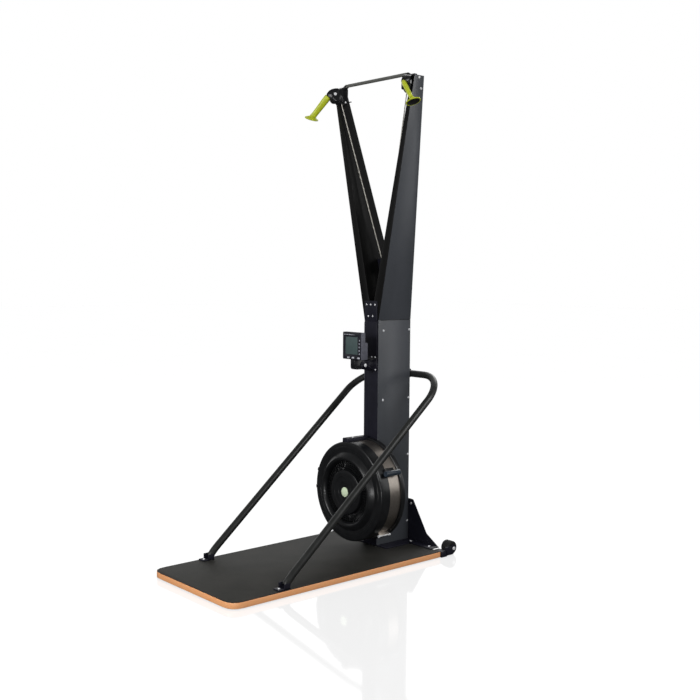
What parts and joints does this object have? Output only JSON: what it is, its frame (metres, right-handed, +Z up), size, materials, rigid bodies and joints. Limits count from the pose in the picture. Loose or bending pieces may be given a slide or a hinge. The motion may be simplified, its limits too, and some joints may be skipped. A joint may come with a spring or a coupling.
{
  "type": "standing ski trainer",
  "caption": "Standing ski trainer: platform, column with spread arms, cord pulleys with pull handles, fan flywheel in a round housing, tilting monitor and support hoop.",
  "frame": {"origin": "on the floor, under the middle of the platform, on the underside of the underlay", "axes": "+X is to the right of the user, who stands facing the column; +Y runs from the user towards the column; +Z is up"},
  "size_m": [0.736, 1.261, 2.1707],
  "materials": {
    "front_paint": "near-black satin powder coat",
    "side_paint": "dark grey satin paint on sheet aluminium",
    "cover_plastic": "near-black satin moulding",
    "black_plastic": "black satin moulding",
    "case_plastic": "near-black fine-grained case",
    "grey_plastic": "mid grey moulding",
    "bar_paint": "dark grey gloss paint",
    "tube_paint": "black gloss powder coat",
    "rubber": "matt black rubber",
    "deck_skin": "dark textured non-slip sheet",
    "birch": "plywood with a clear-coated edge",
    "lime_plastic": "lime green semi-gloss moulding",
    "pale_green_plastic": "pale green satin cap",
    "steel": "brushed bare steel",
    "cord": "pale woven cord",
    "blue_plastic": "blue-black gloss moulding",
    "screen": "grey-green display that is switched off",
    "button_rubber": "dark grey soft-touch rubber"
  },
  "bodies": {
    "frame": {"underlay_pad": "rubber", "platform_board": "birch", "deck_sheet": "deck_skin", "base_plate": "front_paint", "column_side_right": "side_paint", "column_side_left": "side_paint", "column_front": "front_paint", "column_rear": "front_paint", "front_cover": "cover_plastic", "arm_joint_plate": "front_paint", "arm_right": "side_paint", "arm_left": "side_paint", "top_bar": "bar_paint", "pulley_housing_right": "black_plastic", "pulley_housing_left": "black_plastic", "pulley_bolt_right": "steel", "pulley_bolt_left": "steel", "guide_bracket": "front_paint", "drive_cord_right": "cord", "drive_cord_left": "cord", "front_shell": "black_plastic", "steel_band": "steel", "rear_shell": "black_plastic", "hub_cap": "pale_green_plastic", "shell_bracket": "black_plastic", "rear_brace": "front_paint", "wheel_bracket_right": "front_paint", "wheel_bracket_left": "front_paint", "wheel_axle_right": "steel", "wheel_axle_left": "steel", "hoop_tube": "tube_paint", "hoop_clamp": "front_paint", "hoop_foot_right": "front_paint", "hoop_foot_left": "front_paint", "monitor_bracket": "front_paint"},
    "flywheel": {"fan_wheel": "black_plastic", "flywheel_axle": "steel"},
    "right_drum": {"cord_drum_right": "grey_plastic"},
    "left_drum": {"cord_drum_left": "grey_plastic"},
    "right_handle": {"handle_right": "lime_plastic"},
    "left_handle": {"handle_left": "lime_plastic"},
    "right_top_pulley": {"top_pulley_right": "black_plastic"},
    "left_top_pulley": {"top_pulley_left": "black_plastic"},
    "right_guide_pulley": {"guide_pulley_right": "black_plastic"},
    "left_guide_pulley": {"guide_pulley_left": "black_plastic"},
    "right_wheel": {"transport_wheel_right": "rubber"},
    "left_wheel": {"transport_wheel_left": "rubber"},
    "damper": {"air_damper": "blue_plastic"},
    "monitor": {"monitor_front": "case_plastic", "monitor_back": "grey_plastic", "monitor_lens": "screen", "monitor_cradle": "black_plastic"},
    "button_1": {"menu_button_1": "button_rubber"},
    "button_2": {"menu_button_2": "button_rubber"},
    "button_3": {"menu_button_3": "button_rubber"},
    "button_4": {"menu_button_4": "button_rubber"},
    "button_5": {"menu_button_5": "button_rubber"},
    "left_key": {"key_left": "button_rubber"},
    "middle_key": {"key_middle": "button_rubber"},
    "right_key": {"key_right": "button_rubber"}
  },
  "joints": [
    {"name": "flywheel_spin", "type": "hinge", "parent": "frame", "child": "flywheel", "pos_m": [0, 0.36, 0.299], "axis": [0, 1, 0], "continuous": true},
    {"name": "right_pull", "type": "slide", "parent": "frame", "child": "right_handle", "axis": [0, -0.349, -0.9371], "range_m": [0, 1.3], "stiffness_N_per_m": 10, "springref_m": -1},
    {"name": "left_pull", "type": "slide", "parent": "frame", "child": "left_handle", "axis": [0, -0.349, -0.9371], "range_m": [0, 1.3], "stiffness_N_per_m": 10, "springref_m": -1},
    {"name": "right_top_pulley_turn", "type": "hinge", "parent": "frame", "child": "right_top_pulley", "pos_m": [0.241, 0.382, 2.122], "axis": [0.8324, 0.523, -0.1833], "continuous": true},
    {"name": "left_top_pulley_turn", "type": "hinge", "parent": "frame", "child": "left_top_pulley", "pos_m": [-0.241, 0.382, 2.122], "axis": [-0.8324, 0.523, -0.1833], "continuous": true},
    {"name": "right_guide_pulley_turn", "type": "hinge", "parent": "frame", "child": "right_guide_pulley", "pos_m": [0.0165, 0.482, 1.33], "axis": [0, 1, 0], "continuous": true},
    {"name": "left_guide_pulley_turn", "type": "hinge", "parent": "frame", "child": "left_guide_pulley", "pos_m": [-0.0165, 0.482, 1.33], "axis": [0, 1, 0], "continuous": true},
    {"name": "right_drum_turn", "type": "hinge", "parent": "frame", "child": "right_drum", "pos_m": [0, 0.5, 0.299], "axis": [0, 1, 0], "continuous": true},
    {"name": "left_drum_turn", "type": "hinge", "parent": "frame", "child": "left_drum", "pos_m": [0, 0.464, 0.299], "axis": [0, 1, 0], "continuous": true},
    {"name": "right_wheel_roll", "type": "hinge", "parent": "frame", "child": "right_wheel", "pos_m": [0.278, 0.654, 0.032], "axis": [1, 0, 0], "continuous": true},
    {"name": "left_wheel_roll", "type": "hinge", "parent": "frame", "child": "left_wheel", "pos_m": [-0.278, 0.654, 0.032], "axis": [1, 0, 0], "continuous": true},
    {"name": "damper_turn", "type": "hinge", "parent": "frame", "child": "damper", "pos_m": [0, 0.345, 0.299], "axis": [0, 1, 0], "range_deg": [-10, 45]},
    {"name": "monitor_tilt", "type": "hinge", "parent": "frame", "child": "monitor", "pos_m": [0, 0.347, 0.875], "axis": [1, 0, 0], "range_deg": [-20, 60]},
    {"name": "button_1_press", "type": "slide", "parent": "monitor", "child": "button_1", "axis": [0, 1, 0], "range_m": [0, 0.0012], "stiffness_N_per_m": 300, "springref_m": -0.001},
    {"name": "button_2_press", "type": "slide", "parent": "monitor", "child": "button_2", "axis": [0, 1, 0], "range_m": [0, 0.0012], "stiffness_N_per_m": 300, "springref_m": -0.001},
    {"name": "button_3_press", "type": "slide", "parent": "monitor", "child": "button_3", "axis": [0, 1, 0], "range_m": [0, 0.0012], "stiffness_N_per_m": 300, "springref_m": -0.001},
    {"name": "button_4_press", "type": "slide", "parent": "monitor", "child": "button_4", "axis": [0, 1, 0], "range_m": [0, 0.0012], "stiffness_N_per_m": 300, "springref_m": -0.001},
    {"name": "button_5_press", "type": "slide", "parent": "monitor", "child": "button_5", "axis": [0, 1, 0], "range_m": [0, 0.0012], "stiffness_N_per_m": 300, "springref_m": -0.001},
    {"name": "left_key_press", "type": "slide", "parent": "monitor", "child": "left_key", "axis": [0, 1, 0], "range_m": [0, 0.0012], "stiffness_N_per_m": 300, "springref_m": -0.001},
    {"name": "middle_key_press", "type": "slide", "parent": "monitor", "child": "middle_key", "axis": [0, 1, 0], "range_m": [0, 0.0012], "stiffness_N_per_m": 300, "springref_m": -0.001},
    {"name": "right_key_press", "type": "slide", "parent": "monitor", "child": "right_key", "axis": [0, 1, 0], "range_m": [0, 0.0012], "stiffness_N_per_m": 300, "springref_m": -0.001}
  ],
  "couplings": [
    {"joint": "right_top_pulley_turn", "follows": "right_pull", "rad_per_m": 50},
    {"joint": "left_top_pulley_turn", "follows": "left_pull", "rad_per_m": -50},
    {"joint": "right_guide_pulley_turn", "follows": "right_pull", "rad_per_m": 80},
    {"joint": "left_guide_pulley_turn", "follows": "left_pull", "rad_per_m": -80},
    {"joint": "right_drum_turn", "follows": "right_pull", "rad_per_m": -44.444},
    {"joint": "left_drum_turn", "follows": "left_pull", "rad_per_m": -44.444}
  ]
}
